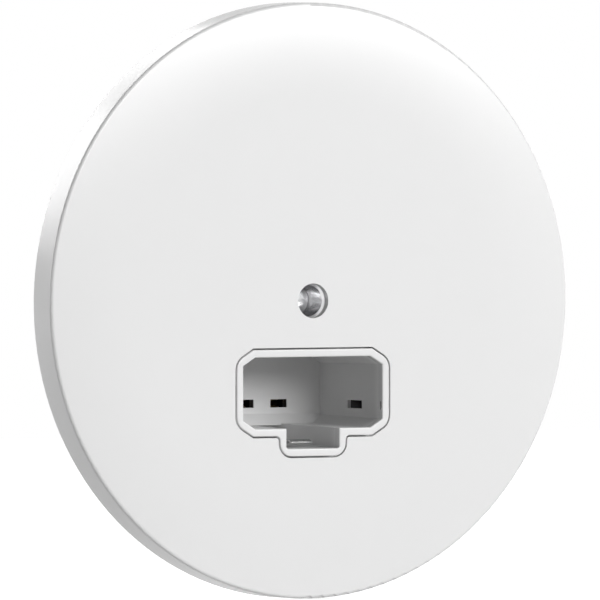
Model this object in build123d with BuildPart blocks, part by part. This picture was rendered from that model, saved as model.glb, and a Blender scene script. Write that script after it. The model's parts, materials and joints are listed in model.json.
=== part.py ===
import os
from math import cos, radians, tan

from build123d import *

# A luminaire outlet for a ceiling: a round domed cover with a keyed plug socket and a hook hole.
# The front faces -Y, +Z is up in the front view, and Y = 0 is the plane of the ceiling.
# The origin is on the axis of the cover and of the hook thread.

# Cover plate
plate_radius = 60.0
rim_depth = 6.9
crown_height = 1.25
side_wall = 1.8
face_wall = 2.0
shoulder_radius = 42.0
shoulder_drop = 0.2
rim_round = 0.75
hook_hole_radius = 3.5
hook_hole_wall = 1.4
hook_hole_round = 0.3
guide_boss_wall = 1.2
guide_boss_height = 0.3
rib_width = 1.0
rib_height = 0.9
rib_start = 7.0
rib_angles = (35, 62, 90, 118, 145)
hoop_rib_radius = 52.5

# Socket mouth, seen from the front
mouth_width = 32.3
mouth_height = 14.36
mouth_drop = 11.29
corner_run = 2.8
corner_rise = 1.68
key_width = 12.2
key_height = 4.09
key_corner_round = 0.5
bezel_width = 1.55
bezel_side_round = 3.0
bezel_key_round = 2.7
bezel_neck_round = 0.9
bezel_edge_round = 0.25
mouth_edge_round = 0.3
seam_gap = 0.32

# Socket cavity
cavity_depth = 24.65
cavity_draft = 0.8
back_wall = 1.6
floor_bevel = 1.9
skirt_length = 4.0
flange_reach = 2.0
flange_thickness = 1.2
flange_seat_gap = 0.2
slot_width = 3.86
slot_height = 1.65
slot_drop = 21.3
pole_pitch = 7.72
pole_shift = -1.56
side_window_length = 5.6
side_window_front = 8.15
side_pocket_depth = 2.2
side_pocket_height = 4.0
side_pocket_margin = 0.6
side_pocket_wall = 1.2
side_window_lip = 0.6
mouth_notch_inset = 0.4
mouth_notch_length = 0.7
mouth_notch_depth = 0.6
fit_gap = 0.1
same_place = 0.01

# Clips that hold the socket and the mounting frame behind the cover
clip_thickness = 1.3
clip_length = 1.2
socket_clip_width = 8.0
socket_clip_catch = 1.0
frame_clip_width = 9.0
frame_clip_count = 4
frame_clip_overlap = 0.5
clip_gap = 0.3

# Mounting frame
frame_radius = 47.0
frame_base = 1.6
frame_ring_inset = 1.6
frame_ring_wall = 1.5
frame_ring_height = 3.3
frame_bead = 0.9
frame_bead_height = 1.0
frame_window_gap = 0.7
frame_rib_angles = (32, 60, 90, 120, 148, 212, 328)
frame_rib_start = 17.0
frame_rib_height = 1.4
rail_width = 1.3
rail_gap = 0.15
screw_boss_radius = 2.7
screw_boss_length = 5.0
vent_length = 12.0
vent_width = 5.0
vent_inset = 19.0
vent_angles = (45, 135)

# Hook bridge, a folded steel strap under the two box screws
bridge_length = 76.0
bridge_width = 14.0
bridge_thickness = 1.5
bridge_lip_length = 40.0
bridge_lip_height = 1.5
bridge_lip_thickness = 1.2
box_screw_spacing = 60.0
box_slot_length = 8.0
box_slot_width = 4.2
bridge_screw_x = 18.0

# Threaded bush that takes the hook, with its washer and nut
bush_thread_radius = 2.5
bush_thread_length = 10.0
bush_thread_front = 0.0
bush_bore_radius = 3.1
bush_head_radius = 5.0
bush_flat_width = 8.6
bush_barrel_radius = 4.0
bush_bevel = 0.4
bush_clearance = 0.05
washer_radius = 7.0
washer_thickness = 1.0
nut_flats = 13.0
nut_height = 4.0
nut_bevel = 0.5

# Small screws of the bridge
small_screw_radius = 1.1
small_screw_length = 6.6
small_head_radius = 2.3
small_head_height = 1.4
small_recess_width = 0.7
small_recess_length = 2.6
small_recess_depth = 0.7

# Terminal housing and its rear cap
housing_length = 12.9
cap_thickness = 2.4
cap_spigot = 1.0
cap_edge_round = 0.45
chamber_width = 6.2
chamber_height = 11.7
chamber_drop = 12.6
core_wall = 1.2

# Snaps that join the shell, the housing and the cap
snap_width = 6.0
snap_height = 0.8
snap_length = 1.6
snap_gap = 0.15
snap_inset = 1.0
arm_thickness = 1.2
arm_width = 9.0
arm_end = 1.4
arm_window_inset = 3.4
arm_round = 1.2
wire_hole_radius = 1.9
wire_funnel_radius = 2.4
wire_hole_drop = 14.5
barrier_width = 0.9
barrier_height = 1.0
barrier_length = 10.0

# Contacts and clamp springs
contact_thickness = 0.6
contact_width = 4.4
contact_bend = 0.7
fork_length = 8.6
fork_half_gap = 0.4
fork_half_height = 1.7
fork_front_gap = 1.3
pinch_length = 1.6
bar_length = 5.4
spring_thickness = 0.4
spring_width = 4.0
spring_foot_length = 2.0
spring_fold_height = 1.6
spring_fold_round = 0.56
spring_gap = 0.2

# Release buttons
button_width = 3.6
button_height = 3.0
button_drop = 18.8
button_gap = 0.15
button_round = 0.3
button_travel = 1.8
button_rest_height = 0.2
button_collar = 0.6
button_collar_length = 0.45
button_groove = 0.6
button_groove_depth = 0.5

# Latch leaf in the key channel
latch_width = 4.9
latch_thickness = 0.35
latch_foot_depth = 18.0
latch_nose_depth = 4.6
latch_rise = 1.6
latch_foot_radius = 0.5
latch_groove_gap = 0.1
latch_nose_drop = 0.5
latch_nose_length = 1.2
latch_bend = 0.8

# Side catch leaves
catch_thickness = 0.3
catch_width = 2.8
catch_bow = 0.9

# Places worked out from the sizes above
face_y = -(rim_depth + crown_height)
inner_y = face_y + face_wall
rib_y = inner_y + rib_height
mouth_half = mouth_width / 2
mouth_top = -mouth_drop
mouth_bottom = mouth_top - mouth_height
key_half = key_width / 2
key_bottom = mouth_bottom - key_height
mouth_middle = (mouth_top + mouth_bottom) / 2
cavity_back_y = face_y + cavity_depth
cavity_floor_rise = tan(radians(cavity_draft)) * cavity_depth
shell_back_y = cavity_back_y + back_wall
skirt_back_y = shell_back_y + skirt_length
housing_back_y = skirt_back_y + housing_length
cap_front_y = housing_back_y - cap_spigot
cap_back_y = housing_back_y + cap_thickness
button_proud = button_travel + button_rest_height
flange_back_y = inner_y + flange_seat_gap + flange_thickness
frame_ring_radius = frame_radius - frame_ring_inset
vent_radius = frame_radius - vent_inset
frame_front_y = -frame_base
ring_front_y = frame_front_y - frame_ring_height
bead_back_y = ring_front_y + frame_bead_height
bridge_front_y = frame_front_y - bridge_thickness
bush_seat_y = face_y + hook_hole_wall
bush_seat_radius = bush_head_radius + fit_gap
bush_front_y = bush_seat_y + fit_gap
bush_back_y = bush_thread_front + bush_thread_length
slot_z = -slot_drop
chamber_top = -chamber_drop
chamber_mid = chamber_top - chamber_height / 2
pole_centres = [pole_shift + pole_pitch * step for step in (1, 0, -1)]
pole_names = ("live", "neutral", "earth")
shell_half = mouth_half + bezel_width


def at_depth(y):
    """The front-view plane at a given Y, on which an extrusion runs towards the front."""
    return Plane.XZ.offset(-y)


def corners_at(sketch, width, height=None):
    """The corners of an outline at a distance either side of the middle, and at a height if given."""
    return [
        corner
        for corner in sketch.vertices()
        if abs(abs(corner.X) - width) < same_place
        and (height is None or abs(corner.Y - height) < same_place)
    ]


def socket_outline(grow, side_round, key_round, neck_round):
    """The mouth's outline, grown evenly, with its outer corners rounded."""
    with BuildSketch() as outline:
        with BuildLine():
            Polyline(
                (mouth_half - corner_run, mouth_top),
                (mouth_half, mouth_top - corner_rise),
                (mouth_half, mouth_bottom + corner_rise),
                (mouth_half - corner_run, mouth_bottom),
                (key_half, mouth_bottom),
                (key_half, key_bottom),
                (-key_half, key_bottom),
                (-key_half, mouth_bottom),
                (corner_run - mouth_half, mouth_bottom),
                (-mouth_half, mouth_bottom + corner_rise),
                (-mouth_half, mouth_top - corner_rise),
                (corner_run - mouth_half, mouth_top),
                close=True,
            )
        make_face()
        if grow:
            offset(amount=grow, kind=Kind.INTERSECTION, mode=Mode.REPLACE)
        if side_round:
            fillet(corners_at(outline, mouth_half + grow), side_round)
        if key_round:
            fillet(corners_at(outline, key_half + grow, key_bottom - grow), key_round)
        if neck_round:
            fillet(corners_at(outline, key_half + grow, mouth_bottom - grow), neck_round)
    return outline.sketch


mouth_outline = socket_outline(0, 0, key_corner_round, 0)
bezel_outline = socket_outline(bezel_width, bezel_side_round, bezel_key_round, bezel_neck_round)
window_outline = socket_outline(
    bezel_width + seam_gap,
    bezel_side_round + seam_gap,
    bezel_key_round + seam_gap,
    bezel_neck_round - seam_gap,
)
flange_outline = socket_outline(
    bezel_width + flange_reach,
    bezel_side_round + flange_reach,
    bezel_key_round,
    bezel_neck_round,
)
spigot_outline = socket_outline(-fit_gap, 0, key_corner_round, 0)
core_outline = socket_outline(-core_wall, 0, 0, 0)
frame_window_outline = socket_outline(bezel_width + frame_window_gap, 0, 0, 0)

# Frame clips, a ring of hooks that grip the bead of the mounting frame
clip_inner = frame_radius
clip_catch_radius = frame_ring_radius + frame_bead - frame_clip_overlap
clip_catch_front = bead_back_y + clip_gap
clip_end_y = clip_catch_front + clip_length

with BuildPart() as frame_clips:
    with BuildSketch(Plane.XY):
        with BuildLine():
            Polyline(
                (clip_inner, inner_y - face_wall / 2),
                (clip_inner + clip_thickness, inner_y - face_wall / 2),
                (clip_inner + clip_thickness, clip_end_y),
                (clip_inner, clip_end_y),
                (clip_catch_radius, clip_catch_front + clip_length / 2),
                (clip_catch_radius, clip_catch_front),
                (clip_inner, clip_catch_front),
                close=True,
            )
        make_face()
    revolve(axis=Axis.Y)
    with BuildSketch(at_depth(0)):
        with PolarLocations(frame_radius, frame_clip_count, start_angle=45):
            Rectangle(frame_clip_width, frame_clip_width)
    extrude(amount=-face_y, mode=Mode.INTERSECT)

# Cover plate
with BuildPart() as cover_plate:
    with BuildSketch(Plane.XY) as cover_section:
        with BuildLine():
            crown = TangentArc(
                (0, face_y),
                (shoulder_radius, face_y + shoulder_drop),
                tangent=(1, 0),
            )
            shoulder = TangentArc(crown @ 1, (plate_radius, -rim_depth), tangent=crown % 1)
            Line(shoulder @ 1, (plate_radius, 0))
            Line((plate_radius, 0), (plate_radius - side_wall, 0))
            Line((plate_radius - side_wall, 0), (plate_radius - side_wall, face_wall - rim_depth))
            inner_crown = TangentArc(
                (0, inner_y),
                (shoulder_radius, inner_y + shoulder_drop),
                tangent=(1, 0),
            )
            TangentArc(
                inner_crown @ 1,
                (plate_radius - side_wall, face_wall - rim_depth),
                tangent=inner_crown % 1,
            )
            Line((0, inner_y), (0, face_y))
        make_face()
        fillet(cover_section.vertices().sort_by_distance((plate_radius, -rim_depth))[0], rim_round)
    revolve(axis=Axis.Y)
    # Stiffening ribs, a hoop near the rim and the guide boss of the hook hole
    with BuildSketch(at_depth(rib_y)):
        Circle(hoop_rib_radius + rib_width / 2)
        Circle(hoop_rib_radius - rib_width / 2, mode=Mode.SUBTRACT)
        for angle in rib_angles:
            with Locations(Rotation(0, 0, angle)):
                with Locations(((rib_start + plate_radius - side_wall / 2) / 2, 0)):
                    Rectangle(plate_radius - side_wall / 2 - rib_start, rib_width)
    extrude(amount=rib_height + face_wall / 2)
    with BuildSketch(at_depth(inner_y + guide_boss_height)):
        Circle(bush_seat_radius + guide_boss_wall)
    extrude(amount=guide_boss_height + face_wall / 2)
    add(frame_clips.part)
    # Clips of the socket, one at each side of its flange
    socket_clip_x = mouth_half + bezel_width + flange_reach + fit_gap
    socket_clip_end = flange_back_y + fit_gap + clip_length
    for side in (-1, 1):
        with BuildSketch(at_depth(socket_clip_end)):
            with Locations((side * (socket_clip_x + clip_thickness / 2), mouth_middle)):
                Rectangle(clip_thickness, socket_clip_width)
        extrude(amount=socket_clip_end - inner_y + face_wall / 2)
        with BuildSketch(at_depth(socket_clip_end)):
            with Locations((side * (socket_clip_x - socket_clip_catch / 2), mouth_middle)):
                Rectangle(socket_clip_catch, socket_clip_width)
        extrude(amount=clip_length)
    with BuildSketch(at_depth(0)):
        add(window_outline)
        Circle(hook_hole_radius)
    extrude(amount=-2 * face_y, mode=Mode.SUBTRACT)
    hook_hole_edge = cover_plate.edges().filter_by(GeomType.CIRCLE).sort_by(Axis.Y)
    fillet(
        hook_hole_edge.filter_by(lambda e: abs(e.radius - hook_hole_radius) < same_place)[0],
        hook_hole_round,
    )
    # Seat of the bush's head behind the hook hole
    with BuildSketch(at_depth(0)):
        Circle(bush_seat_radius)
    extrude(amount=-bush_seat_y, mode=Mode.SUBTRACT)

# Mounting frame
rail_z = bridge_width / 2 + rail_gap + rail_width / 2
pocket_reach = shell_half + side_pocket_depth
boss_reach = pocket_reach + side_pocket_wall

with BuildPart() as mounting_frame:
    with BuildSketch(at_depth(0)):
        Circle(frame_radius)
    extrude(amount=frame_base)
    with BuildSketch(Plane.XY):
        with BuildLine():
            Polyline(
                (frame_ring_radius - frame_ring_wall, frame_front_y / 2),
                (frame_ring_radius, frame_front_y / 2),
                (frame_ring_radius, bead_back_y),
                (frame_ring_radius + frame_bead, bead_back_y),
                (frame_ring_radius, ring_front_y),
                (frame_ring_radius - frame_ring_wall, ring_front_y),
                close=True,
            )
        make_face()
    revolve(axis=Axis.Y)
    # Ribs between the ring and the middle, and rails beside the bridge
    with BuildSketch(at_depth(frame_front_y)):
        for angle in frame_rib_angles:
            with Locations(Rotation(0, 0, angle)):
                with Locations(((frame_ring_radius - frame_ring_wall / 2 + frame_rib_start) / 2, 0)):
                    Rectangle(frame_ring_radius - frame_ring_wall / 2 - frame_rib_start, rib_width)
        with Locations((0, rail_z), (0, -rail_z)):
            Rectangle(bridge_length - bridge_width, rail_width)
    extrude(amount=frame_rib_height)
    with BuildSketch(at_depth(0)):
        with Locations((bridge_screw_x, 0), (-bridge_screw_x, 0)):
            Circle(screw_boss_radius)
    extrude(amount=-screw_boss_length)
    # Window of the socket, holes of the bush and screws, and vents
    with BuildSketch(at_depth(screw_boss_length)):
        add(frame_window_outline)
        with Locations((0, slot_z - side_pocket_wall)):
            Rectangle(
                2 * (boss_reach + frame_window_gap),
                side_pocket_height + 4 * side_pocket_wall + 2 * frame_window_gap,
            )
        Circle(bush_barrel_radius + bush_clearance)
        with Locations((bridge_screw_x, 0), (-bridge_screw_x, 0)):
            Circle(small_screw_radius + bush_clearance)
        with Locations((box_screw_spacing / 2, 0), (-box_screw_spacing / 2, 0)):
            SlotOverall(box_slot_length, box_slot_width)
        for angle in vent_angles:
            with Locations(Rotation(0, 0, angle)):
                with Locations((vent_radius, 0)):
                    SlotOverall(vent_length, vent_width, rotation=90)
    extrude(amount=2 * screw_boss_length + frame_ring_height, mode=Mode.SUBTRACT)

# Hook bridge
with BuildPart() as hook_bridge:
    with BuildSketch(at_depth(frame_front_y)):
        SlotOverall(bridge_length, bridge_width)
        Circle(bush_barrel_radius + bush_clearance, mode=Mode.SUBTRACT)
        with Locations((bridge_screw_x, 0), (-bridge_screw_x, 0)):
            Circle(small_screw_radius + rail_gap, mode=Mode.SUBTRACT)
        with Locations((box_screw_spacing / 2, 0), (-box_screw_spacing / 2, 0)):
            SlotOverall(box_slot_length, box_slot_width, mode=Mode.SUBTRACT)
    extrude(amount=bridge_thickness)
    lip_z = (bridge_width - bridge_lip_thickness) / 2
    with BuildSketch(at_depth(bridge_front_y)):
        with Locations((0, lip_z), (0, -lip_z)):
            Rectangle(bridge_lip_length, bridge_lip_thickness)
    extrude(amount=bridge_lip_height)

# Threaded bush of the hook
with BuildPart() as hook_bush:
    with BuildSketch(Plane.XY):
        with BuildLine():
            Polyline(
                (bush_bore_radius, bush_front_y + bush_bevel),
                (bush_bore_radius + bush_bevel, bush_front_y),
                (bush_head_radius - bush_bevel, bush_front_y),
                (bush_head_radius, bush_front_y + bush_bevel),
                (bush_head_radius, bridge_front_y),
                (bush_barrel_radius, bridge_front_y),
                (bush_barrel_radius, bush_back_y - bush_bevel),
                (bush_barrel_radius - bush_bevel, bush_back_y),
                (bush_thread_radius, bush_back_y),
                (bush_thread_radius, bush_thread_front),
                (bush_bore_radius, bush_thread_front - (bush_bore_radius - bush_thread_radius)),
                close=True,
            )
        make_face()
    revolve(axis=Axis.Y)
    # Two flats on the head
    with BuildSketch(at_depth(bridge_front_y)):
        with Locations((0, bush_flat_width), (0, -bush_flat_width)):
            Rectangle(3 * bush_head_radius, bush_flat_width)
    extrude(amount=bridge_front_y - bush_front_y, mode=Mode.SUBTRACT)

with BuildPart() as bush_washer:
    with BuildSketch(at_depth(washer_thickness)):
        Circle(washer_radius)
        Circle(bush_barrel_radius + bush_clearance, mode=Mode.SUBTRACT)
    extrude(amount=washer_thickness)
    chamfer(bush_washer.edges().group_by(SortBy.LENGTH)[-1], bush_bevel / 2)

with BuildPart() as bush_nut:
    with BuildSketch(at_depth(washer_thickness + nut_height)):
        RegularPolygon(nut_flats / 2, 6, major_radius=False, rotation=30)
    extrude(amount=nut_height)
    with BuildSketch(Plane.XY):
        with BuildLine():
            nut_corner = nut_flats / 2 / cos(radians(30))
            Polyline(
                (0, washer_thickness),
                (nut_corner - nut_bevel, washer_thickness),
                (nut_corner, washer_thickness + nut_bevel),
                (nut_corner, washer_thickness + nut_height - nut_bevel),
                (nut_corner - nut_bevel, washer_thickness + nut_height),
                (0, washer_thickness + nut_height),
                close=True,
            )
        make_face()
    revolve(axis=Axis.Y, mode=Mode.INTERSECT)
    with BuildSketch(at_depth(washer_thickness + nut_height)):
        Circle(bush_barrel_radius + bush_clearance)
    extrude(amount=nut_height, mode=Mode.SUBTRACT)

with BuildPart() as bridge_screws:
    for side in (-1, 1):
        with BuildSketch(at_depth(bridge_front_y + small_screw_length)):
            with Locations((side * bridge_screw_x, 0)):
                Circle(small_screw_radius)
        extrude(amount=small_screw_length)
        with BuildSketch(at_depth(bridge_front_y)):
            with Locations((side * bridge_screw_x, 0)):
                Circle(small_head_radius)
        extrude(amount=small_head_height)
    head_edges = bridge_screws.edges().filter_by(GeomType.CIRCLE).group_by(Axis.Y)[0]
    chamfer(head_edges, small_head_height / 3)
    with BuildSketch(at_depth(bridge_front_y - small_head_height + small_recess_depth)):
        with Locations((bridge_screw_x, 0), (-bridge_screw_x, 0)):
            Rectangle(small_recess_length, small_recess_width)
            Rectangle(small_recess_width, small_recess_length)
    extrude(amount=small_recess_depth, mode=Mode.SUBTRACT)

# Socket shell: bezel, flange, cavity with its key channel, and the skirt behind
latch_floor = key_bottom
latch_foot_y = face_y + latch_foot_depth
latch_nose_y = face_y + latch_nose_depth
foot_floor = latch_floor + tan(radians(cavity_draft)) * latch_foot_depth

with BuildPart() as socket_shell:
    with BuildSketch(at_depth(skirt_back_y)):
        add(bezel_outline)
    extrude(amount=skirt_back_y - face_y)
    fillet(socket_shell.faces().sort_by(Axis.Y)[0].edges(), bezel_edge_round)
    with BuildSketch(at_depth(flange_back_y)):
        add(flange_outline)
    extrude(amount=flange_thickness)
    # Bosses of the side pockets
    window_y = face_y + side_window_front + side_window_length / 2
    boss_length = side_window_length + 2 * (side_pocket_margin + side_pocket_wall)
    boss_height = side_pocket_height + 2 * side_pocket_wall
    for side in (-1, 1):
        with BuildSketch(at_depth(window_y + boss_length / 2)):
            with Locations((side * (boss_reach + mouth_half) / 2, slot_z - side_pocket_wall)):
                Rectangle(boss_reach - mouth_half, boss_height)
        extrude(amount=boss_length)
    with BuildSketch(at_depth(face_y)):
        add(mouth_outline)
    extrude(amount=-cavity_depth, taper=cavity_draft, mode=Mode.SUBTRACT)
    mouth_edges = socket_shell.faces().sort_by(Axis.Y)[0].inner_wires()[0].edges()
    fillet(mouth_edges, mouth_edge_round)
    # Bevel between the back wall and the floor
    bevel_top = mouth_bottom + cavity_floor_rise + floor_bevel
    with BuildSketch(Plane.YZ):
        with BuildLine():
            Polyline(
                (cavity_back_y - floor_bevel, mouth_bottom),
                (cavity_back_y + back_wall / 2, mouth_bottom),
                (cavity_back_y + back_wall / 2, bevel_top),
                (cavity_back_y, bevel_top),
                close=True,
            )
        make_face()
    extrude(amount=mouth_half, both=True)
    # Skirt that takes the housing, with a snap window in each side
    with BuildSketch(at_depth(skirt_back_y)):
        add(mouth_outline)
    extrude(amount=skirt_length, mode=Mode.SUBTRACT)
    with BuildSketch(at_depth(skirt_back_y - snap_inset + snap_gap)):
        with Locations((0, mouth_middle)):
            Rectangle(2 * (shell_half + fit_gap), snap_width + 2 * snap_gap)
    extrude(amount=snap_length + 2 * snap_gap, mode=Mode.SUBTRACT)
    # Slots of the three poles
    with BuildSketch(at_depth(shell_back_y)):
        with Locations(*[(x, slot_z) for x in pole_centres]):
            Rectangle(slot_width, slot_height)
    extrude(amount=2 * back_wall, mode=Mode.SUBTRACT)
    # Side windows and the pockets behind them, open at the bottom
    pocket_length = side_window_length + 2 * side_pocket_margin
    with BuildSketch(at_depth(window_y + side_window_length / 2)):
        with Locations((0, slot_z)):
            Rectangle(2 * (shell_half + side_pocket_depth / 2), slot_height)
    extrude(amount=side_window_length, mode=Mode.SUBTRACT)
    pocket_start = mouth_half + side_window_lip
    for side in (-1, 1):
        with BuildSketch(at_depth(window_y + pocket_length / 2)):
            with Locations((side * (pocket_reach + pocket_start) / 2, slot_z - 2 * side_pocket_wall)):
                Rectangle(pocket_reach - pocket_start, side_pocket_height + 2 * side_pocket_wall)
        extrude(amount=pocket_length, mode=Mode.SUBTRACT)
    # Small notches in the side walls, just inside the mouth
    with BuildSketch(at_depth(face_y + mouth_notch_inset + mouth_notch_length)):
        with Locations((0, slot_z)):
            Rectangle(2 * (mouth_half + mouth_notch_depth), slot_height)
    extrude(amount=mouth_notch_length, mode=Mode.SUBTRACT)
    # Groove for the foot of the latch leaf
    with BuildSketch(Plane.YZ):
        with Locations((latch_foot_y, foot_floor + latch_groove_gap)):
            Circle(latch_foot_radius + latch_groove_gap)
    extrude(amount=latch_width / 2 + latch_groove_gap, both=True, mode=Mode.SUBTRACT)

# Latch leaf, pressed from strip, with a rolled foot and a rolled nose
with BuildPart() as latch_spring:
    foot_z = foot_floor + latch_groove_gap
    nose_z = latch_floor + latch_rise
    with BuildSketch(Plane.YZ):
        with BuildLine():
            FilletPolyline(
                (latch_foot_y, foot_z + (latch_foot_radius - latch_thickness) / 2),
                (latch_nose_y + latch_nose_length, nose_z),
                (latch_nose_y, nose_z - latch_nose_drop),
                radius=latch_bend,
            )
        trace(line_width=latch_thickness)
        with Locations((latch_foot_y, foot_z)):
            Circle(latch_foot_radius)
    extrude(amount=latch_width / 2, both=True)

# Side catch leaves, bowed strips in the pockets
catch_parts = []
for side in (-1, 1):
    with BuildPart() as catch_leaf:
        root_x = side * (pocket_reach - spring_gap - catch_thickness / 2)
        crest_x = side * (pocket_reach - spring_gap - catch_thickness / 2 - catch_bow)
        half_run = pocket_length / 2 - spring_gap
        with BuildSketch(Plane.XY.offset(slot_z - side_pocket_wall)):
            with BuildLine():
                ThreePointArc(
                    (root_x, window_y - half_run),
                    (crest_x, window_y),
                    (root_x, window_y + half_run),
                )
            trace(line_width=catch_thickness)
        extrude(amount=catch_width / 2, both=True)
    catch_parts.append(catch_leaf.part)

# Terminal housing: three chambers in one moulding, plugged into the skirt of the shell
chamber_row_width = 2 * pole_pitch + chamber_width + 2 * core_wall
nub_back_y = skirt_back_y - snap_inset
arm_nub_y = housing_back_y - arm_window_inset

with BuildPart() as terminal_housing:
    with BuildSketch(at_depth(housing_back_y)):
        add(bezel_outline)
    extrude(amount=housing_length)
    with BuildSketch(at_depth(skirt_back_y)):
        add(spigot_outline)
    extrude(amount=skirt_length - fit_gap)
    with BuildSketch(at_depth(housing_back_y)):
        add(mouth_outline)
    extrude(amount=cap_spigot, mode=Mode.SUBTRACT)
    with BuildSketch(at_depth(housing_back_y)):
        with Locations(*[(x, chamber_mid) for x in pole_centres]):
            Rectangle(chamber_width, chamber_height)
    extrude(amount=housing_length + skirt_length, mode=Mode.SUBTRACT)
    # Cored pockets beside and below the chambers
    with BuildSketch(at_depth(housing_back_y)):
        add(core_outline)
        with Locations((pole_shift, chamber_mid)):
            Rectangle(chamber_row_width, 2 * chamber_height, mode=Mode.SUBTRACT)
        with Locations((0, (mouth_bottom + key_bottom) / 2)):
            Rectangle(key_width - 2 * core_wall, key_height - 2 * core_wall)
    extrude(amount=housing_length + skirt_length - core_wall, mode=Mode.SUBTRACT)
    # Nubs that snap into the skirt and into the arms of the cap
    for side in (-1, 1):
        spigot_side = mouth_half - fit_gap
        with BuildSketch(Plane.XY.offset(mouth_middle)):
            with BuildLine():
                Polyline(
                    (side * (spigot_side - fit_gap), nub_back_y),
                    (side * (spigot_side + snap_height), nub_back_y),
                    (side * spigot_side, nub_back_y - snap_length),
                    (side * (spigot_side - fit_gap), nub_back_y - snap_length),
                    close=True,
                )
            make_face()
            with BuildLine():
                Polyline(
                    (side * (shell_half - fit_gap), arm_nub_y - snap_length),
                    (side * (shell_half + snap_height), arm_nub_y - snap_length),
                    (side * shell_half, arm_nub_y),
                    (side * (shell_half - fit_gap), arm_nub_y),
                    close=True,
                )
            make_face()
        extrude(amount=snap_width / 2, both=True)

# Rear cap with wire funnels, button holes and barriers between the poles
with BuildPart() as rear_cap:
    with BuildSketch(at_depth(cap_back_y)):
        add(bezel_outline)
    extrude(amount=cap_thickness)
    fillet(rear_cap.faces().sort_by(Axis.Y)[-1].edges(), cap_edge_round)
    with BuildSketch(at_depth(housing_back_y)):
        add(spigot_outline)
    extrude(amount=cap_spigot)
    with BuildSketch(at_depth(cap_back_y + barrier_height)):
        barrier_z = -(wire_hole_drop + button_drop) / 2
        with Locations(*[(pole_shift + pole_pitch * step, barrier_z) for step in (-1.5, -0.5, 0.5, 1.5)]):
            Rectangle(barrier_width, barrier_length)
    extrude(amount=barrier_height + cap_thickness / 2)
    # Snap arms along the sides of the housing
    arm_front_y = arm_nub_y - snap_length - snap_gap - arm_end
    arm_back_y = cap_back_y - cap_edge_round
    for side in (-1, 1):
        with BuildSketch(Plane.YZ.offset(side * (shell_half + fit_gap))):
            with Locations(((arm_front_y + arm_back_y) / 2, mouth_middle)):
                RectangleRounded(arm_back_y - arm_front_y, arm_width, arm_round)
            with Locations((arm_nub_y - snap_length / 2, mouth_middle)):
                Rectangle(snap_length + 2 * snap_gap, snap_width + 2 * snap_gap, mode=Mode.SUBTRACT)
        extrude(amount=side * arm_thickness)
        with BuildSketch(Plane.YZ.offset(side * (shell_half - arm_thickness))):
            with Locations(((housing_back_y + arm_back_y) / 2, mouth_middle)):
                Rectangle(arm_back_y - housing_back_y, arm_width - 2 * arm_round)
        extrude(amount=side * (arm_thickness + fit_gap + arm_thickness / 2))
    for x in pole_centres:
        with BuildSketch(at_depth(cap_back_y)):
            with Locations((x, -wire_hole_drop)):
                Circle(wire_hole_radius)
            with Locations((x, -button_drop)):
                Rectangle(button_width + 2 * button_gap, button_height + 2 * button_gap)
        extrude(amount=cap_thickness + cap_spigot, mode=Mode.SUBTRACT)
    funnel_edges = rear_cap.edges().filter_by(GeomType.CIRCLE)
    funnel_edges = funnel_edges.filter_by(lambda e: abs(e.radius - wire_hole_radius) < same_place)
    chamfer(funnel_edges.group_by(Axis.Y)[-1], wire_funnel_radius - wire_hole_radius)


def make_contact(pole_x):
    """A forked contact with a bar that the wire lies against."""
    fork_front_y = shell_back_y + fork_front_gap
    fork_back_y = fork_front_y + fork_length
    pinch_y = fork_front_y + pinch_length
    finger = fork_half_gap + contact_thickness / 2
    bar_z = chamber_top - spring_gap - contact_thickness / 2
    with BuildPart() as contact:
        with BuildSketch(Plane.YZ.offset(pole_x)):
            with BuildLine():
                FilletPolyline(
                    (fork_front_y, slot_z + fork_half_height),
                    (pinch_y, slot_z + finger),
                    (fork_front_y + fork_length / 2, slot_z + fork_half_height),
                    (fork_back_y, slot_z + fork_half_height),
                    (fork_back_y, slot_z - fork_half_height),
                    (fork_front_y + fork_length / 2, slot_z - fork_half_height),
                    (pinch_y, slot_z - finger),
                    (fork_front_y, slot_z - fork_half_height),
                    radius=contact_bend,
                )
            trace(line_width=contact_thickness)
            with BuildLine():
                FilletPolyline(
                    (fork_back_y, slot_z),
                    (fork_back_y, bar_z),
                    (fork_back_y + bar_length, bar_z),
                    radius=contact_bend,
                )
            trace(line_width=contact_thickness)
        extrude(amount=contact_width / 2, both=True)
    return contact.part


def make_clamp_spring(pole_x):
    """A folded strip whose free leg presses the wire on the bar."""
    fork_back_y = shell_back_y + fork_front_gap + fork_length
    foot_y = fork_back_y + contact_thickness / 2 + spring_gap + spring_thickness / 2
    fold_y = foot_y + spring_foot_length
    foot_z = slot_z + fork_half_height + contact_thickness + spring_gap
    tip_z = chamber_top - spring_gap - contact_thickness - spring_gap - spring_thickness / 2
    with BuildPart() as spring:
        with BuildSketch(Plane.YZ.offset(pole_x)):
            with BuildLine():
                FilletPolyline(
                    (foot_y, foot_z),
                    (fold_y, foot_z),
                    (fold_y, foot_z + spring_fold_height),
                    (foot_y + spring_gap, tip_z),
                    radius=spring_fold_round,
                )
            trace(line_width=spring_thickness)
        extrude(amount=spring_width / 2, both=True)
    return spring.part


def make_button(pole_x):
    """A release plunger with an inner collar and a driver groove across its end."""
    with BuildPart() as button:
        with BuildSketch(at_depth(cap_back_y + button_proud)):
            with Locations((pole_x, -button_drop)):
                RectangleRounded(button_width, button_height, button_round)
        extrude(amount=cap_thickness + cap_spigot + button_proud + bush_clearance)
        with BuildSketch(at_depth(cap_front_y - bush_clearance)):
            with Locations((pole_x, -button_drop)):
                Rectangle(button_width + 2 * button_collar, button_height + 2 * button_collar)
        extrude(amount=button_collar_length)
        with BuildSketch(at_depth(cap_back_y + button_proud)):
            with Locations((pole_x, -button_drop)):
                Rectangle(button_width, button_groove)
        extrude(amount=button_groove_depth, mode=Mode.SUBTRACT)
    return button.part


os.makedirs("parts", exist_ok=True)

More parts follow.
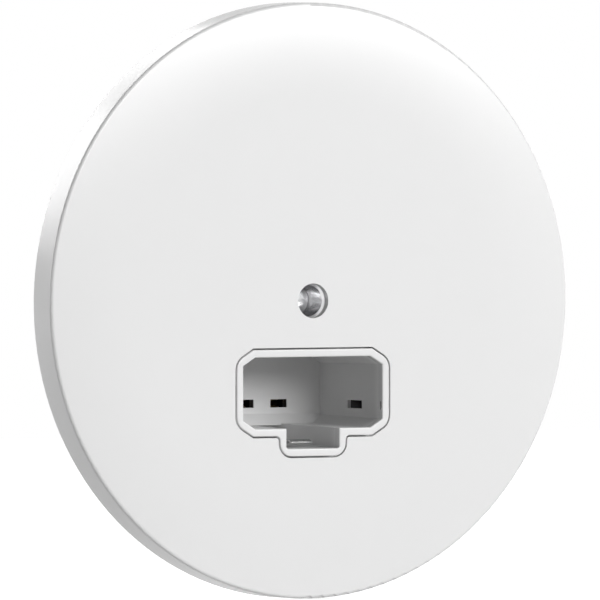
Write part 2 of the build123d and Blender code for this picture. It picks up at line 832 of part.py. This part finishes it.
pieces = {
    "cover_plate": cover_plate.part,
    "mounting_frame": mounting_frame.part,
    "hook_bridge": hook_bridge.part,
    "hook_bush": hook_bush.part,
    "bush_washer": bush_washer.part,
    "bush_nut": bush_nut.part,
    "bridge_screws": bridge_screws.part,
    "socket_shell": socket_shell.part,
    "latch_spring": latch_spring.part,
    "left_catch_spring": catch_parts[0],
    "right_catch_spring": catch_parts[1],
    "terminal_housing": terminal_housing.part,
    "rear_cap": rear_cap.part,
}
for name, x in zip(pole_names, pole_centres):
    pieces[f"{name}_contact"] = make_contact(x)
    pieces[f"{name}_clamp_spring"] = make_clamp_spring(x)
    pieces[f"{name}_release_button"] = make_button(x)

for name, piece in pieces.items():
    piece.label = name
    export_step(piece, f"parts/{name}.step")
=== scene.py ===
import json
import math

import bmesh
import bpy
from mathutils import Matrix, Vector


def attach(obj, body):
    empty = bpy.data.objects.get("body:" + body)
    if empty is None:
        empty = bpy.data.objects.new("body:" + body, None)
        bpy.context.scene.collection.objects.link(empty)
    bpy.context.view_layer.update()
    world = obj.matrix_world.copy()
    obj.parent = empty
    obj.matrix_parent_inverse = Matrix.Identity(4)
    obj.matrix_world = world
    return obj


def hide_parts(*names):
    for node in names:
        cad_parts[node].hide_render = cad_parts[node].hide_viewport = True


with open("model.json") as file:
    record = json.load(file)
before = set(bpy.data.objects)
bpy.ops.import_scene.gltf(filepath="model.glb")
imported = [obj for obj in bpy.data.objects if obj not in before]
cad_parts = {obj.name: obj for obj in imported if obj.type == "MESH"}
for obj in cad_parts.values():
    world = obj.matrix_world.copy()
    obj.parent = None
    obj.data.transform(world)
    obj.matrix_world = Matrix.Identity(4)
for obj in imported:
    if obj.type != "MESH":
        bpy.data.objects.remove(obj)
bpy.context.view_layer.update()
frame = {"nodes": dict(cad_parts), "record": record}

MM = 0.001

# Sizes of the cover's face, of the thread and of the recesses in the socket, as in the solids
PLATE_RADIUS = 60.0 * MM
RIM_DEPTH = 6.9 * MM
CROWN_HEIGHT = 1.25 * MM
SHOULDER_RADIUS = 42.0 * MM
SHOULDER_DROP = 0.2 * MM
RIB_ENDS = (57.5 * MM, 59.2 * MM)
THREAD_RADIUS = 2.5 * MM
THREAD_LENGTH = 10.0 * MM
THREAD_START = 5.0 * MM
THREAD_PITCH = 1.0 * MM
THREAD_HEIGHT = 0.42 * MM
THREAD_BEDDING = 0.55
SLOT_DROP = 21.3 * MM

# Boxes in the socket where shade is painted into the shell's colour, each as its middle and how far it
# reaches along each axis
CAVITY_SHADE_BOXES = (
    ((0, 4.3 * MM, -18.45 * MM), (16.5 * MM, 12.3 * MM, 7.55 * MM)),
    ((0, 4.3 * MM, -27.9 * MM), (6.5 * MM, 12.3 * MM, 2.2 * MM)),
)
# Boxes where near-black shade is painted: the side pockets behind the windows and the back slots
RECESS_SHADE_BOXES = (
    ((-18.5 * MM, 2.8 * MM, -SLOT_DROP), (1.8 * MM, 4.0 * MM, 2.2 * MM)),
    ((18.5 * MM, 2.8 * MM, -SLOT_DROP), (1.8 * MM, 4.0 * MM, 2.2 * MM)),
    ((-1.56 * MM, 17.4 * MM, -SLOT_DROP), (9.8 * MM, 0.65 * MM, 0.95 * MM)),
)

# The depths between which the bezel's white passes into the cavity's painted grey shade and rougher skin
BEZEL_FRONT = -7.9 * MM
ROUGH_AND_SHADED_FROM = -4 * MM

# Distances within which points are one, and below which an edge is none
WELD = 0.002 * MM
SLIVER = 0.001 * MM

# Angles between faces that count as flat, as smooth, as a crease to soften, and as smooth on a ring
FLAT_ANGLE = math.radians(0.5)
SMOOTH_ANGLE = math.radians(35)
CREASE_ANGLE = math.radians(50)
RING_ANGLE = math.radians(40)

# A face whose normal has a Y below this looks to the front
FRONT_FACING = -0.98

# The photograph's framing: a long lens 30 degrees to the left and just above the middle
PICTURE_WIDTH = 600.0
PIXELS_PER_METRE = 4967.0
CAMERA_AZIMUTH = math.radians(-30.0)
CAMERA_ELEVATION = math.radians(1.35)
RIM_CENTRE_PIXEL = (310.1, 300.7)
LENS = 1620.0
SENSOR = 36.0

# Studio light
AMBIENT = 0.0
FLOOR_TONE = 0.52
FLOOR_GLOW = 0.82
FLOOR_REACH = 1.0
FLOOR_GAP = 0.2 * MM


class Value:
    """A node socket that can stand in a Python expression."""

    def __init__(self, finish, socket):
        self.finish = finish
        self.socket = socket

    def maths(self, operation, first, second=None):
        inputs = {0: first} if second is None else {0: first, 1: second}
        return self.finish.node("ShaderNodeMath", {"operation": operation}, inputs)

    def __add__(self, other):
        return self.maths("ADD", self, other)

    def __radd__(self, other):
        return self.maths("ADD", other, self)

    def __mul__(self, other):
        return self.maths("MULTIPLY", self, other)

    def __rmul__(self, other):
        return self.maths("MULTIPLY", other, self)

    def __lt__(self, other):
        return self.maths("LESS_THAN", self, other)

    def sine(self):
        return self.maths("SINE", self)


class Finish:
    """A node material in the making, with one Principled shader."""

    def __init__(self, name, colour, roughness, metallic=0.0):
        self.material = bpy.data.materials.new(name)
        self.material.use_nodes = True
        self.tree = self.material.node_tree
        self.tree.nodes.clear()
        shader = self.tree.nodes.new("ShaderNodeBsdfPrincipled")
        output = self.tree.nodes.new("ShaderNodeOutputMaterial")
        self.tree.links.new(shader.outputs[0], output.inputs["Surface"])
        shader.inputs["Base Color"].default_value = (*colour, 1)
        shader.inputs["Roughness"].default_value = roughness
        shader.inputs["Metallic"].default_value = metallic
        self.shader = shader
        self.material.diffuse_color = (*colour, 1)

    def node(self, kind, settings=None, inputs=None, output=0):
        """Adds a node, sets it, joins or fills its inputs, and gives one of its outputs."""
        made = self.tree.nodes.new(kind)
        for name, setting in (settings or {}).items():
            setattr(made, name, setting)
        for place, value in (inputs or {}).items():
            self.feed(made.inputs[place], value)
        return Value(self, made.outputs[output])

    def feed(self, socket, value):
        if isinstance(value, Value):
            self.tree.links.new(value.socket, socket)
        else:
            socket.default_value = value

    def set(self, **values):
        """Sets the shader's own sockets, by names with underscores for spaces."""
        for name, value in values.items():
            self.feed(self.shader.inputs[name.replace("_", " ").title()], value)
        return self

    def place(self):
        return self.node("ShaderNodeTexCoord", output=3)

    def axes(self, vector=None):
        """The X, Y and Z of a vector, by default of the point on the piece, in metres."""
        split = self.tree.nodes.new("ShaderNodeSeparateXYZ")
        self.feed(split.inputs[0], vector or self.place())
        return [Value(self, end) for end in split.outputs]

    def inside(self, middle, reach):
        """1 within a box, given by its middle and by how far it reaches along each axis, else 0."""
        offset = self.node(
            "ShaderNodeVectorMath", {"operation": "SUBTRACT"}, {0: self.place(), 1: middle}
        )
        away = self.node("ShaderNodeVectorMath", {"operation": "ABSOLUTE"}, {0: offset})
        x, y, z = self.axes(away)
        return (x < reach[0]) * (y < reach[1]) * (z < reach[2])

    def stretched(self, scale):
        """Object coordinates scaled by a different amount along each axis."""
        return self.node("ShaderNodeMapping", inputs={"Vector": self.place(), "Scale": scale})

    def noise(self, scale, detail=2.0, vector=None):
        """Noise from 0 to 1, with the given number of features in a metre."""
        settings = {"noise_dimensions": "3D"}
        inputs = {"Vector": vector or self.place(), "Scale": scale, "Detail": detail}
        return self.node("ShaderNodeTexNoise", settings, inputs)

    def between(self, factor, low, high):
        """A number that runs from low to high with the factor."""
        return low + (high - low) * factor

    def tint(self, factor, first, second):
        """A colour between two colours, each of them fixed or from another node."""
        ends = [end if isinstance(end, Value) else (*end, 1) for end in (first, second)]
        inputs = {"Factor": factor, 6: ends[0], 7: ends[1]}
        return self.node("ShaderNodeMix", {"data_type": "RGBA"}, inputs, output=2)

    def relief(self, height, distance, strength=1.0):
        """Bumps the surface by a height field, in metres at full strength."""
        normal = self.node(
            "ShaderNodeBump", inputs={"Height": height, "Distance": distance, "Strength": strength}
        )
        self.feed(self.shader.inputs["Normal"], normal)
        return self


def grey(level):
    return (level, level, level)


def moulded_plastic(name, colour, shade, roughness, grain=0.004 * MM):
    """Moulded plastic: faint clouding, a slightly uneven gloss and a fine spark-eroded grain."""
    finish = Finish(name, colour, roughness)
    cloud = finish.noise(60, 3)
    gloss = finish.noise(900, 2)
    finish.set(
        base_color=finish.tint(cloud, shade, colour),
        roughness=finish.between(gloss, roughness - 0.04, roughness + 0.04),
    )
    finish.relief(finish.noise(3500, 2), grain)
    return finish.material


def shell_plastic():
    """The cover's white on the polished bezel, painted grey shade and a rougher skin deeper in the cavity,
    and near-black painted shade in the side pockets and back slots.
    """
    white, painted_cavity_shade, painted_recess_shade = grey(0.83), grey(0.68), grey(0.05)
    finish = Finish("shell_white", white, 0.26)
    _, y, _ = finish.axes()
    depth = finish.node(
        "ShaderNodeMapRange",
        {"interpolation_type": "SMOOTHSTEP"},
        {"Value": y, "From Min": BEZEL_FRONT, "From Max": ROUGH_AND_SHADED_FROM},
    )
    # Painted shade: the base colour turns grey towards the back of the cavity
    within = sum(finish.inside(middle, reach) for middle, reach in CAVITY_SHADE_BOXES)
    # Painted shade: near-black base colour in the side pockets and the back slots
    shaded = sum(finish.inside(middle, reach) for middle, reach in RECESS_SHADE_BOXES)
    finish.set(
        base_color=finish.tint(shaded, finish.tint(depth * within, white, painted_cavity_shade), painted_recess_shade),
        roughness=finish.between(depth, 0.24, 0.36),
    )
    finish.relief(finish.noise(3500, 2), 0.003 * MM)
    return finish.material


def rolled_steel(name, colour, roughness, stretch):
    """Metal strip or bar, with fine lines drawn along one way."""
    finish = Finish(name, colour, roughness, metallic=1.0)
    lines = finish.noise(1.0, 3, finish.stretched(stretch))
    patches = finish.noise(300, 2)
    finish.set(
        base_color=finish.tint(patches, tuple(0.9 * c for c in colour), colour),
        roughness=finish.between(lines, roughness - 0.06, roughness + 0.08),
    )
    finish.relief(lines, 0.006 * MM)
    return finish.material


def turned_steel(name, colour, roughness):
    """Metal from a lathe, polished, with faint tool lines round the Y axis."""
    finish = Finish(name, colour, roughness, metallic=1.0)
    _, y, _ = finish.axes()
    wander = finish.noise(400, 2)
    lines = (y * 52000 + 2 * wander).sine()
    finish.set(roughness=finish.between(wander, roughness - 0.02, roughness + 0.03))
    finish.relief(lines, 0.0002 * MM)
    return finish.material


finishes = {
    "cover_plastic": moulded_plastic("cover_white", grey(0.83), grey(0.82), 0.24),
    "shell_plastic": shell_plastic(),
    "frame_plastic": moulded_plastic("frame_pale_grey", (0.62, 0.62, 0.61), (0.58, 0.58, 0.57), 0.5),
    "housing_plastic": moulded_plastic("housing_black", grey(0.018), grey(0.014), 0.45),
    "cap_plastic": moulded_plastic("cap_grey", (0.2, 0.205, 0.21), (0.17, 0.175, 0.18), 0.48),
    "button_plastic": moulded_plastic("button_pale", (0.66, 0.66, 0.64), (0.6, 0.6, 0.58), 0.42),
    "zinc_steel": rolled_steel("zinc_plated_steel", (0.6, 0.62, 0.64), 0.36, (120, 4000, 4000)),
    "bush_steel": turned_steel("turned_bush_steel", (0.7, 0.7, 0.71), 0.22),
    "contact_brass": rolled_steel("stamped_brass", (0.72, 0.52, 0.24), 0.3, (4000, 150, 150)),
    "spring_steel": rolled_steel("bright_spring_strip", (0.7, 0.7, 0.7), 0.22, (4000, 150, 150)),
}
slot_of = {row["node"]: row["material_slot"] for row in frame["record"]["subparts"]}
body_of = {
    node: body for body, nodes in frame["record"]["behaviour"]["bodies"].items() for node in nodes
}


def plain_mesh(piece):
    """Applies what is on a piece and leaves a plain mesh."""
    graph = bpy.context.evaluated_depsgraph_get()
    mesh = bpy.data.meshes.new_from_object(piece.evaluated_get(graph))
    piece.modifiers.clear()
    piece.data = mesh
    return piece


def seat(piece, node, finish_slot=None):
    """Makes a piece ride with a node's body, in a material slot's finish."""
    chosen = finish_slot or slot_of[node]
    piece.data.materials.clear()
    piece.data.materials.append(finishes[chosen])
    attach(piece, body_of[node])
    return piece


def weld_into(form, mesh):
    """Joins points that coincide, drops slivers, and writes the form into a mesh."""
    bmesh.ops.remove_doubles(form, verts=form.verts, dist=WELD)
    bmesh.ops.dissolve_degenerate(form, edges=form.edges, dist=SLIVER)
    form.to_mesh(mesh)
    form.free()


def dressed_copy(node, name, edge=0.0):
    """A welded copy of a node's mesh with softened edges, which stands for the node."""
    mesh = frame["nodes"][node].data.copy()
    mesh.name = name
    form = bmesh.new()
    form.from_mesh(mesh)
    weld_into(form, mesh)
    imported_normals = mesh.attributes.get("custom_normal")
    if imported_normals:
        mesh.attributes.remove(imported_normals)
    piece = bpy.data.objects.new(name, mesh)
    bpy.context.scene.collection.objects.link(piece)
    if edge:
        flatten = piece.modifiers.new("flatten", "DECIMATE")
        flatten.decimate_type = "DISSOLVE"
        flatten.angle_limit = FLAT_ANGLE
        soften = piece.modifiers.new("soften", "BEVEL")
        soften.width = edge
        soften.segments = 2
        soften.limit_method = "ANGLE"
        soften.angle_limit = CREASE_ANGLE
        soften.use_clamp_overlap = True
    plain_mesh(piece)
    piece.data.shade_smooth()
    piece.data.set_sharp_from_angle(angle=SMOOTH_ANGLE)
    seat(piece, node)
    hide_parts(node)
    return piece


def face_curve(radius):
    """The sine of the slope of the cover's domed face, and its Y, at a radius."""
    crown_bend = (SHOULDER_RADIUS**2 + SHOULDER_DROP**2) / (2 * SHOULDER_DROP)
    run = PLATE_RADIUS - SHOULDER_RADIUS
    rise = CROWN_HEIGHT - SHOULDER_DROP
    start = math.asin(SHOULDER_RADIUS / crown_bend)
    chord = math.atan2(rise, run)
    shoulder_bend = math.hypot(run, rise) / (2 * math.sin(chord - start))
    front = -(RIM_DEPTH + CROWN_HEIGHT)
    if radius < SHOULDER_RADIUS:
        slope = radius / crown_bend
        return slope, front + crown_bend * (1 - math.sqrt(1 - slope * slope))
    slope = SHOULDER_RADIUS / crown_bend + (radius - SHOULDER_RADIUS) / shoulder_bend
    fall = shoulder_bend * (math.cos(start) - math.sqrt(1 - slope * slope))
    return slope, front + SHOULDER_DROP + fall


def level_rib_ends(cover):
    """Brings the ends of the inner ribs, which stand a hair proud near the rim, down to the face."""
    form = bmesh.new()
    form.from_mesh(cover.data)
    first, last = RIB_ENDS
    for vertex in form.verts:
        radius = math.hypot(vertex.co.x, vertex.co.z)
        if first < radius < last:
            vertex.co.y = max(vertex.co.y, face_curve(radius)[1])
    weld_into(form, cover.data)


def smooth_face(cover):
    """Gives the domed face the exact normals of its curve, so that it shows no facets."""
    mesh = cover.data
    normals = [Vector(corner.vector) for corner in mesh.corner_normals]
    for polygon in mesh.polygons:
        on_face = polygon.normal.y < FRONT_FACING and polygon.center.y < -RIM_DEPTH
        if not on_face:
            continue
        for loop in polygon.loop_indices:
            point = mesh.vertices[mesh.loops[loop].vertex_index].co
            radius = math.hypot(point.x, point.z)
            slope, _ = face_curve(radius)
            across = Vector((point.x, 0, point.z)).normalized() * slope
            normals[loop] = Vector((across.x, -math.sqrt(1 - slope * slope), across.z))
    mesh.normals_split_custom_set(normals)


def make_cover():
    cover = dressed_copy("cover_plate", "domed_cover")
    level_rib_ends(cover)
    smooth_face(cover)
    return cover


def thread_rings(name, node, radius, first, turns):
    """Turns of a thread as equal rings along the Y axis, made by instancing one ring."""
    tree = bpy.data.node_groups.new(name, "GeometryNodeTree")
    given_sizes = {}
    for label, kind, value in (
        ("Radius", "NodeSocketFloat", radius),
        ("Height", "NodeSocketFloat", THREAD_HEIGHT),
        ("Pitch", "NodeSocketFloat", THREAD_PITCH),
        ("First", "NodeSocketFloat", first),
        ("Turns", "NodeSocketInt", turns),
    ):
        socket = tree.interface.new_socket(label, in_out="INPUT", socket_type=kind)
        given_sizes[socket.identifier] = value
    tree.interface.new_socket("Geometry", in_out="OUTPUT", socket_type="NodeSocketGeometry")
    given = tree.nodes.new("NodeGroupInput")
    result = tree.nodes.new("NodeGroupOutput")

    def step(kind, inputs=None, **settings):
        made = tree.nodes.new(kind)
        for key, setting in settings.items():
            setattr(made, key, setting)
        for place, value in (inputs or {}).items():
            if isinstance(value, bpy.types.NodeSocket):
                tree.links.new(value, made.inputs[place])
            else:
                made.inputs[place].default_value = value
        return made

    start = step("ShaderNodeCombineXYZ", {"Y": given.outputs["First"]})
    stride = step("ShaderNodeCombineXYZ", {"Y": given.outputs["Pitch"]})
    row = step(
        "GeometryNodeMeshLine",
        {"Count": given.outputs["Turns"], "Start Location": start.outputs[0], "Offset": stride.outputs[0]},
        mode="OFFSET",
    )
    path = step("GeometryNodeCurvePrimitiveCircle", {"Resolution": 64, "Radius": given.outputs["Radius"]})
    ridge = step("GeometryNodeCurvePrimitiveCircle", {"Resolution": 4, "Radius": given.outputs["Height"]})
    ring = step(
        "GeometryNodeCurveToMesh",
        {"Curve": path.outputs["Curve"], "Profile Curve": ridge.outputs["Curve"]},
    )
    rings = step(
        "GeometryNodeInstanceOnPoints",
        {
            "Points": row.outputs["Mesh"],
            "Instance": ring.outputs["Mesh"],
            "Rotation": (math.pi / 2, 0, 0),
        },
    )
    solid = step("GeometryNodeRealizeInstances", {"Geometry": rings.outputs["Instances"]})
    coloured = step(
        "GeometryNodeSetMaterial", {"Geometry": solid.outputs[0], "Material": finishes[slot_of[node]]}
    )
    tree.links.new(coloured.outputs[0], result.inputs[0])
    piece = bpy.data.objects.new(name, bpy.data.meshes.new(name))
    bpy.context.scene.collection.objects.link(piece)
    modifier = piece.modifiers.new("turns", "NODES")
    modifier.node_group = tree
    for identifier, value in given_sizes.items():
        modifier[identifier] = value
    plain_mesh(piece)
    piece.data.shade_smooth()
    piece.data.set_sharp_from_angle(angle=RING_ANGLE)
    return seat(piece, node)


def make_bush():
    dressed_copy("hook_bush", "threaded_bush")
    turns = round((THREAD_LENGTH - THREAD_START) / THREAD_PITCH)
    radius = THREAD_RADIUS + THREAD_HEIGHT * THREAD_BEDDING
    thread_rings("bush_thread", "hook_bush", radius, THREAD_START, turns)


softened_edges = {
    "mounting_frame": 0.0,
    "hook_bridge": 0.12,
    "bush_washer": 0.0,
    "bush_nut": 0.0,
    "bridge_screws": 0.0,
    "socket_shell": 0.0,
    "latch_spring": 0.05,
    "left_catch_spring": 0.04,
    "right_catch_spring": 0.04,
    "terminal_housing": 0.12,
    "rear_cap": 0.1,
    "live_contact": 0.05,
    "neutral_contact": 0.05,
    "earth_contact": 0.05,
    "live_clamp_spring": 0.04,
    "neutral_clamp_spring": 0.04,
    "earth_clamp_spring": 0.04,
    "live_release_button": 0.1,
    "neutral_release_button": 0.1,
    "earth_release_button": 0.1,
}

make_cover()
make_bush()
for node, edge in softened_edges.items():
    dressed_copy(node, node + "_finished", edge * MM)


def soft_box(name, azimuth, elevation, distance, size, radiance):
    """A soft box that faces the middle of the cover, by its angles from the front."""
    across, rise = math.radians(azimuth), math.radians(elevation)
    data = bpy.data.lights.new(name, "AREA")
    data.shape = "RECTANGLE"
    data.size, data.size_y = size
    data.energy = 4 * size[0] * size[1] * radiance
    lamp = bpy.data.objects.new(name, data)
    bpy.context.scene.collection.objects.link(lamp)
    aim = Vector((math.sin(across) * math.cos(rise), -math.cos(across) * math.cos(rise), math.sin(rise)))
    lamp.location = distance * aim
    lamp.rotation_euler = aim.to_track_quat("Z", "Y").to_euler()
    lamp.visible_camera = False


def seen_directly(tree):
    """1 for rays from the camera, also by way of metal, and 0 for light that falls on a surface."""
    path = tree.nodes.new("ShaderNodeLightPath")
    total = path.outputs["Is Camera Ray"]
    for other in ("Is Glossy Ray", "Is Transmission Ray"):
        either = tree.nodes.new("ShaderNodeMath")
        either.operation = "MAXIMUM"
        tree.links.new(total, either.inputs[0])
        tree.links.new(path.outputs[other], either.inputs[1])
        total = either.outputs[0]
    return total


def plain_world():
    """An even pale light, with a background that shows as white."""
    world = bpy.data.worlds.new("studio")
    bpy.context.scene.world = world
    world.use_nodes = True
    tree = world.node_tree
    tree.nodes.clear()
    strength = tree.nodes.new("ShaderNodeMapRange")
    tree.links.new(seen_directly(tree), strength.inputs["Value"])
    strength.inputs["To Min"].default_value = AMBIENT
    strength.inputs["To Max"].default_value = 1.0
    fill = tree.nodes.new("ShaderNodeBackground")
    tree.links.new(strength.outputs[0], fill.inputs["Strength"])
    fill.inputs["Color"].default_value = (1, 1, 1, 1)
    output = tree.nodes.new("ShaderNodeOutputWorld")
    tree.links.new(fill.outputs[0], output.inputs["Surface"])


def pale_floor():
    """A pale floor under the cover's rim, which shows as white and keeps the shadow."""
    finish = Finish("floor_white", grey(FLOOR_TONE), 0.95)
    seen = Value(finish, seen_directly(finish.tree))
    finish.set(emission_color=finish.tint(seen, grey(0), grey(FLOOR_GLOW)), emission_strength=1.0)
    mesh = bpy.data.meshes.new("floor")
    height = -PLATE_RADIUS - FLOOR_GAP
    corners = [(x * FLOOR_REACH, y * FLOOR_REACH, height) for x, y in ((-1, -1), (1, -1), (1, 1), (-1, 1))]
    mesh.from_pydata(corners, [], [(0, 1, 2, 3)])
    mesh.materials.append(finish.material)
    floor = bpy.data.objects.new("floor", mesh)
    bpy.context.scene.collection.objects.link(floor)


def make_camera():
    """A long lens at the photograph's angle, aimed so that the rim's centre falls where it does there."""
    azimuth, elevation = CAMERA_AZIMUTH, CAMERA_ELEVATION
    back = Vector(
        (
            math.sin(azimuth) * math.cos(elevation),
            -math.cos(azimuth) * math.cos(elevation),
            math.sin(elevation),
        )
    )
    right = Vector((math.cos(azimuth), math.sin(azimuth), 0))
    up = back.cross(right)
    middle = PICTURE_WIDTH / 2
    across = (middle - RIM_CENTRE_PIXEL[0]) / PIXELS_PER_METRE
    above = (RIM_CENTRE_PIXEL[1] - middle) / PIXELS_PER_METRE
    target = Vector((0, -RIM_DEPTH, 0)) + right * across + up * above
    data = bpy.data.cameras.new("camera")
    data.lens = LENS
    data.sensor_width = SENSOR
    distance = PICTURE_WIDTH / PIXELS_PER_METRE * LENS / SENSOR
    data.clip_start, data.clip_end = 0.1, 500
    camera = bpy.data.objects.new("camera", data)
    bpy.context.scene.collection.objects.link(camera)
    camera.location = target + back * distance
    camera.rotation_euler = (-back).to_track_quat("-Z", "Y").to_euler()
    bpy.context.scene.camera = camera


plain_world()
pale_floor()
soft_box("front_soft_box", 24, 17.5, 2.2, (2.0, 0.76), 8.1)
soft_box("rear_soft_box", 188, 28, 1.1, (0.98, 0.47), 2.4)
soft_box("rear_left_soft_box", -150, 22, 1.1, (0.7, 0.5), 2.0)
soft_box("left_soft_box", -125, 8, 1.1, (0.6, 0.6), 2.4)
make_camera()

scene = bpy.context.scene
scene.view_settings.view_transform = "Standard"
